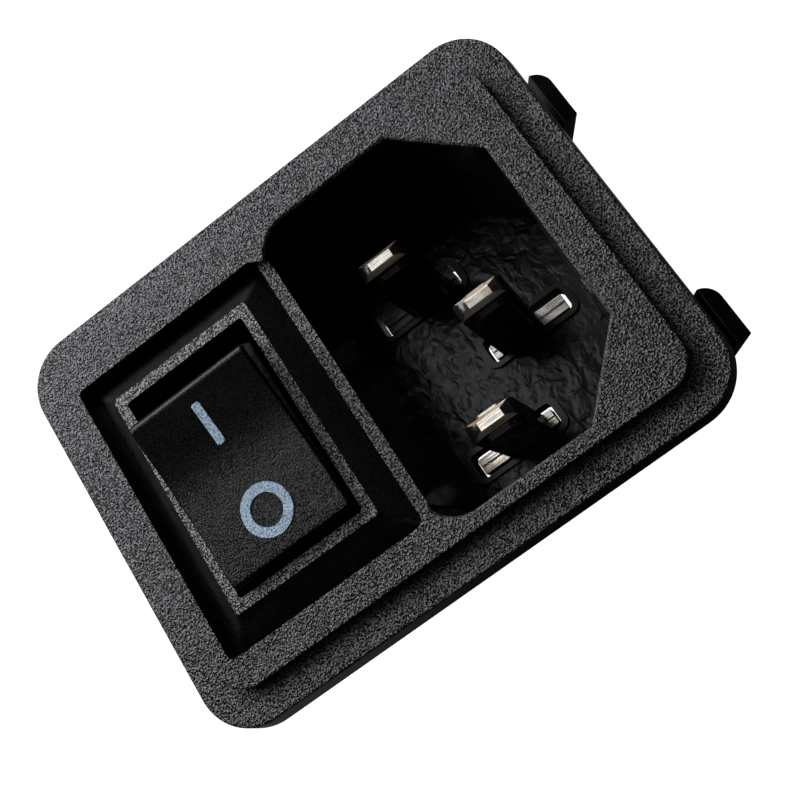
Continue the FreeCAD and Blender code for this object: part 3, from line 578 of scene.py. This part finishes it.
def plated_metal(name, *, bright, dull, rough, depth, painted_shade=None, painted_edge_light=None, bevel_reflection=None):
    """Stamped metal: streaks along the strip and dulled blotches.

    A terminal gets painted shade where it is "shaded", with a painted highlight on its edge strips
    there. On the tip's long bevels it is rougher and has a painted warm reflection in the base
    metal's colour.
    """
    material, tree, shader, place = begin_material(name)
    drawn = use_group(tree, DRAWN, {"Vector": place, "Depth": depth})
    streaks = drawn["Streaks"]
    colour = blend_colours(tree, drawn["Dull"], bright, dull)
    spread = between(tree, streaks, *STREAK_LEVELS, *(rough + shift for shift in STREAK_ROUGHNESS))
    metallic = 1.0
    if painted_shade:
        shaded, reflection_mask = read_mask(tree, "shaded"), read_mask(tree, "bevel_reflection")
        # Painted warm reflection on the tip's long bevels, streaked with the bright plate
        reflection_colour = blend_colours(tree, between(tree, streaks, *REFLECTION_STREAK_LEVELS), bevel_reflection, bright)
        colour = blend_colours(tree, reflection_mask, colour, reflection_colour)
        # Painted shade, with a painted highlight on the edge strips
        outline = blend_colours(tree, read_mask(tree, "rim"), painted_shade, painted_edge_light)
        colour = blend_colours(tree, shaded, colour, outline)
        spread = calculate(tree, "MULTIPLY_ADD", reflection_mask, BEVEL_ROUGHENING, spread)
        metallic = calculate(tree, "MULTIPLY_ADD", shaded, METAL_LOST_IN_SHADE, 1.0)
    feed(tree, shader, {
        "Base Color": colour, "Metallic": metallic, "Roughness": spread, "Normal": drawn["Normal"],
    })
    return material


def printed_ink():
    """Pale ink printed on the pebbled rocker: the grain shows through as specks."""
    material, tree, shader, place = begin_material("white_ink")
    texture = use_group(
        tree, GRAIN, {"Vector": place, "Grain": INK_GRAIN, "Depth": INK_DEPTH, "Matte": 1.0}
    )
    feed(tree, shader, {
        "Base Color": blend_colours(tree, texture["Salt"], *INK_COLOURS),
        "Normal": texture["Normal"],
        "Roughness": INK_ROUGHNESS,
    })
    return material


# Plastics: the pale second matte colour, on the grain's crests, is a painted highlight, the colour
# of the pits is painted shade, and the colour of the edge strips is both rubbing wear and a painted
# edge highlight
MATERIALS = {
    "housing_plastic": moulded_plastic(
        "housing_plastic", matte=((0.002, 0.002, 0.003, 1), (0.165, 0.165, 0.184, 1)),
        smooth=grey(0.003), pit_shade=grey(0.0), rubbed_and_lit=grey(0.07), dusty=(0.20, 0.20, 0.19, 1),
        grain=3600.0, depth=2.3e-4, matte_rough=(0.28, 0.44), smooth_rough=0.24, dust=0.35,
        shine=0.5,
    ),
    "switch_plastic": moulded_plastic(
        "switch_plastic", matte=(grey(0.018), (0.30, 0.30, 0.31, 1)),
        smooth=grey(0.002, -0.06), pit_shade=grey(0.0), rubbed_and_lit=grey(0.09), dusty=(0.16, 0.16, 0.17, 1),
        grain=4400.0, depth=1.7e-4, matte_rough=(0.32, 0.55), smooth_rough=0.28, dust=0.5,
        shine=0.30,
    ),
    "rocker_plastic": moulded_plastic(
        "rocker_plastic", matte=(grey(0.001), grey(0.056, -0.05)),
        smooth=grey(0.002), pit_shade=grey(0.0), rubbed_and_lit=grey(0.02), dusty=(0.12, 0.12, 0.13, 1),
        grain=5000.0, depth=1.6e-4, matte_rough=(0.24, 0.36), smooth_rough=0.21, dust=0.2,
        shine=0.16,
    ),
    "plunger_plastic": moulded_plastic(
        "plunger_plastic", matte=(grey(0.50, 0.06), grey(0.60, 0.06)),
        smooth=grey(0.60, 0.06), pit_shade=grey(0.45, 0.06), rubbed_and_lit=grey(0.62), dusty=grey(0.40),
        grain=2500.0, depth=1e-5, matte_rough=(0.38, 0.46), smooth_rough=0.36, dust=0.2,
        shine=0.5,
    ),
    "white_ink": printed_ink(),
    # The nickel's shade colour is painted shade, its edge colour a painted highlight on the edge
    # strips in that shade, and its bevel colour a painted warm reflection
    "nickel_plate": plated_metal(
        "nickel_plate", bright=(0.86, 0.83, 0.77, 1), dull=(0.62, 0.52, 0.40, 1),
        rough=0.24, depth=4e-6, painted_shade=(0.012, 0.012, 0.010, 1),
        painted_edge_light=(0.09, 0.085, 0.075, 1), bevel_reflection=(0.80, 0.56, 0.30, 1),
    ),
    "spring_steel": plated_metal(
        "spring_steel", bright=(0.50, 0.50, 0.50, 1), dull=(0.28, 0.26, 0.24, 1),
        rough=0.28, depth=2e-6,
    ),
    "copper_alloy": plated_metal(
        "copper_alloy", bright=(0.72, 0.42, 0.26, 1), dull=(0.42, 0.22, 0.13, 1),
        rough=0.30, depth=3e-6,
    ),
    "plated_brass": plated_metal(
        "plated_brass", bright=(0.74, 0.68, 0.56, 1), dull=(0.50, 0.40, 0.24, 1),
        rough=0.28, depth=3e-6,
    ),
    "contact_silver": plated_metal(
        "contact_silver", bright=(0.82, 0.81, 0.78, 1), dull=(0.50, 0.46, 0.40, 1),
        rough=0.24, depth=2e-6,
    ),
}


def mask_housing(mesh):
    """Matte on the flange, the platform and the divider; smooth on their sides and all below.

    Only the edges of the face get the rubbing wear and the painted edge highlight.
    """
    normals, centres = polygon_table(mesh)
    matte = ramp(normals[:, 2], *FACE_LEVELS) * (centres[:, 2] > MATTE_LOW_Z)
    floor = np.abs(centres[:, 2] - CAVITY_FLOOR_Z) < FLOOR_BAND
    keep_mask(mesh, "matte", matte)
    keep_mask(mesh, "floor", floor & (normals[:, 2] > LEVEL_FACE))
    rim = mesh.attributes["rim"].data
    rubbed_and_lit = read_values(rim, "value", kind=np.float32) * (centres[:, 2] > RUB_LOW_Z)
    rim.foreach_set("value", rubbed_and_lit)


def mask_bezel(mesh):
    """Matte on the top of the bezel's frame, with a trace on its sloping skirt."""
    normals, centres = polygon_table(mesh)
    top = ramp(normals[:, 2], *FRAME_LEVELS) * (centres[:, 2] > BEZEL_TOP_Z - FRAME_BAND)
    skirt = (normals[:, 2] > LEANING_FACE) & (centres[:, 2] > FACE_Z - SKIRT_BAND)
    keep_mask(mesh, "matte", np.maximum(top, SKIRT_GRAIN * skirt))


def mask_rocker(mesh):
    """Matte on the dished top, most at the "off" end; the rounded ends and the skirt are smooth."""
    normals, centres = polygon_table(mesh)
    on_top = ramp(normals[:, 2], *ROCKER_LEVELS) * (centres[:, 2] > FACE_Z)
    totals = read_values(mesh.polygons, "loop_total", kind=np.int64)
    corners = read_values(mesh.loops, "vertex_index", kind=np.int64)
    ramped = ramp(-read_values(mesh.vertices, "co", 3)[corners, 1], *ROCKER_GRAIN_RISE)
    grain = ROCKER_LEAST_GRAIN + (1 - ROCKER_LEAST_GRAIN) * ramped
    keep_mask(mesh, "matte", np.repeat(on_top, totals) * grain, "CORNER")


def mask_terminal(mesh):
    """Painted shade on a terminal's upright sides, round shoulders and pressed-out panel in the
    cavity, and on the neutral's foot. A painted reflection on the tip's long bevels."""
    normals, centres = polygon_table(mesh)
    height = centres[:, 2]
    top = height.max()
    near_top = height > top - TERMINAL_TOP_BAND
    on_tip = height > top - TIP_BEVEL_BAND
    in_cavity = height > CAVITY_FLOOR_Z - SHADE_BELOW_FLOOR
    shoulder = (np.abs(normals[:, 0]) > SHOULDER_FACE) & near_top
    panel_top = near_top & (height < top - TIP_BEVEL_BAND)
    shaded = (1 - ramp(np.abs(normals[:, 2]), *UPRIGHT_LEVELS)) * in_cavity
    shaded = np.maximum(shaded, np.maximum(shoulder, PANEL_SHADE * panel_top))
    if mesh.name.startswith("neutral"):
        shaded = np.maximum(shaded, FOOT_SHADE * (height < top - FOOT_DROP) * in_cavity)
    keep_mask(mesh, "shaded", shaded)
    # Where the painted reflection goes
    bevel = on_tip & (np.abs(normals[:, 1]) > LEANING_FACE) & (normals[:, 2] > LEANING_FACE)
    keep_mask(mesh, "bevel_reflection", bevel & ~shoulder)


def mask_smooth(mesh):
    """No matte face at all."""
    keep_mask(mesh, "matte", np.zeros(len(mesh.polygons)))


MASKS = {
    "housing": mask_housing, "switch_case": mask_bezel, "rocker": mask_rocker,
    "line_terminal": mask_terminal, "neutral_terminal": mask_terminal,
    "earth_terminal": mask_terminal,
}

# Dressing of every solid; the printed marks keep their own mesh
KEPT_SOLIDS = ("on_mark", "off_mark")
for node in sorted(frame["nodes"]):
    material = MATERIALS[slot_of(node)]
    if node in KEPT_SOLIDS:
        frame["nodes"][node].data.materials[0] = material
    elif node in PLUNGER_OF:
        squeezed_spring(node).data.materials[0] = material
    else:
        piece = dressed_copy(node)
        MASKS.get(node, mask_smooth)(piece.data)
        piece.data.materials.append(material)


def place_on_dome(azimuth_deg, elevation_deg, distance):
    """A point round the part's middle, by azimuth from +X, elevation and distance."""
    azimuth, elevation = math.radians(azimuth_deg), math.radians(elevation_deg)
    level = math.cos(elevation)
    direction = (level * math.cos(azimuth), level * math.sin(azimuth), math.sin(elevation))
    return Vector(direction) * distance


def area_light(name, azimuth, elevation, distance, size, power):
    """A soft rectangular light that faces the part's middle."""
    data = bpy.data.lights.new(name, "AREA")
    data.shape = "RECTANGLE"
    data.size, data.size_y = size
    data.energy = power
    light = new_object(name, data)
    light.location = place_on_dome(azimuth, elevation, distance)
    light.rotation_euler = light.location.to_track_quat("Z", "Y").to_euler()


def backdrop_material():
    """Pale floor that stays white to the eye, and is clear from below."""
    material, tree, shader, _ = begin_material("pale_floor")
    path = add_node(tree, "LightPath")
    feed(tree, shader, {
        "Base Color": grey(BACKDROP_GREY),
        "Roughness": BACKDROP_ROUGHNESS,
        "Emission Color": grey(1.0),
        "Emission Strength": calculate(
            tree, "MULTIPLY", path.outputs["Is Camera Ray"], BACKDROP_GLOW
        ),
    })
    clear = add_node(tree, "BsdfTransparent")
    back = add_node(tree, "NewGeometry").outputs["Backfacing"]
    mix = add_node(tree, "MixShader", {0: back, 1: shader.outputs[0], 2: clear.outputs[0]})
    tree.links.new(mix.outputs[0], tree.nodes["Material Output"].inputs["Surface"])
    return material


def make_floor():
    """The pale floor, just under the part."""
    half = BACKDROP_SIZE / 2
    z = cad_low.z - BACKDROP_GAP
    corners = [(-half, -half, z), (half, -half, z), (half, half, z), (-half, half, z)]
    mesh = bpy.data.meshes.new("floor")
    mesh.from_pydata(corners, [], [(0, 1, 2, 3)])
    floor = new_object("floor", mesh)
    floor.data.materials.append(backdrop_material())


def make_world():
    """White to the camera, dim to everything else, so that black plastic stays black."""
    world = bpy.data.worlds.new("studio")
    bpy.context.scene.world = world
    world.use_nodes = True
    tree = world.node_tree
    path = add_node(tree, "LightPath")
    level = add_node(tree, "MapRange", {
        "Value": path.outputs["Is Camera Ray"], "To Min": ROOM_LEVEL, "To Max": 1.0,
    })
    feed(tree, tree.nodes["Background"], {"Color": grey(1.0), "Strength": level.outputs["Result"]})


def make_camera():
    """The camera, at the photograph's place and lens."""
    data = bpy.data.cameras.new("camera")
    data.lens = CAMERA_LENS_MM
    data.sensor_width = CAMERA_SENSOR_MM
    data.shift_x, data.shift_y = CAMERA_SHIFT
    data.clip_start, data.clip_end = CAMERA_NEAR, CAMERA_FAR
    camera = new_object("camera", data)
    camera.location = CAMERA_PLACE
    camera.rotation_euler = Euler([math.radians(a) for a in CAMERA_TURN_DEG], "XYZ")
    bpy.context.scene.camera = camera


for name, values in LIGHTS.items():
    area_light(name, **values)
make_floor()
make_world()
make_camera()
bpy.context.scene.view_settings.view_transform = "Standard"
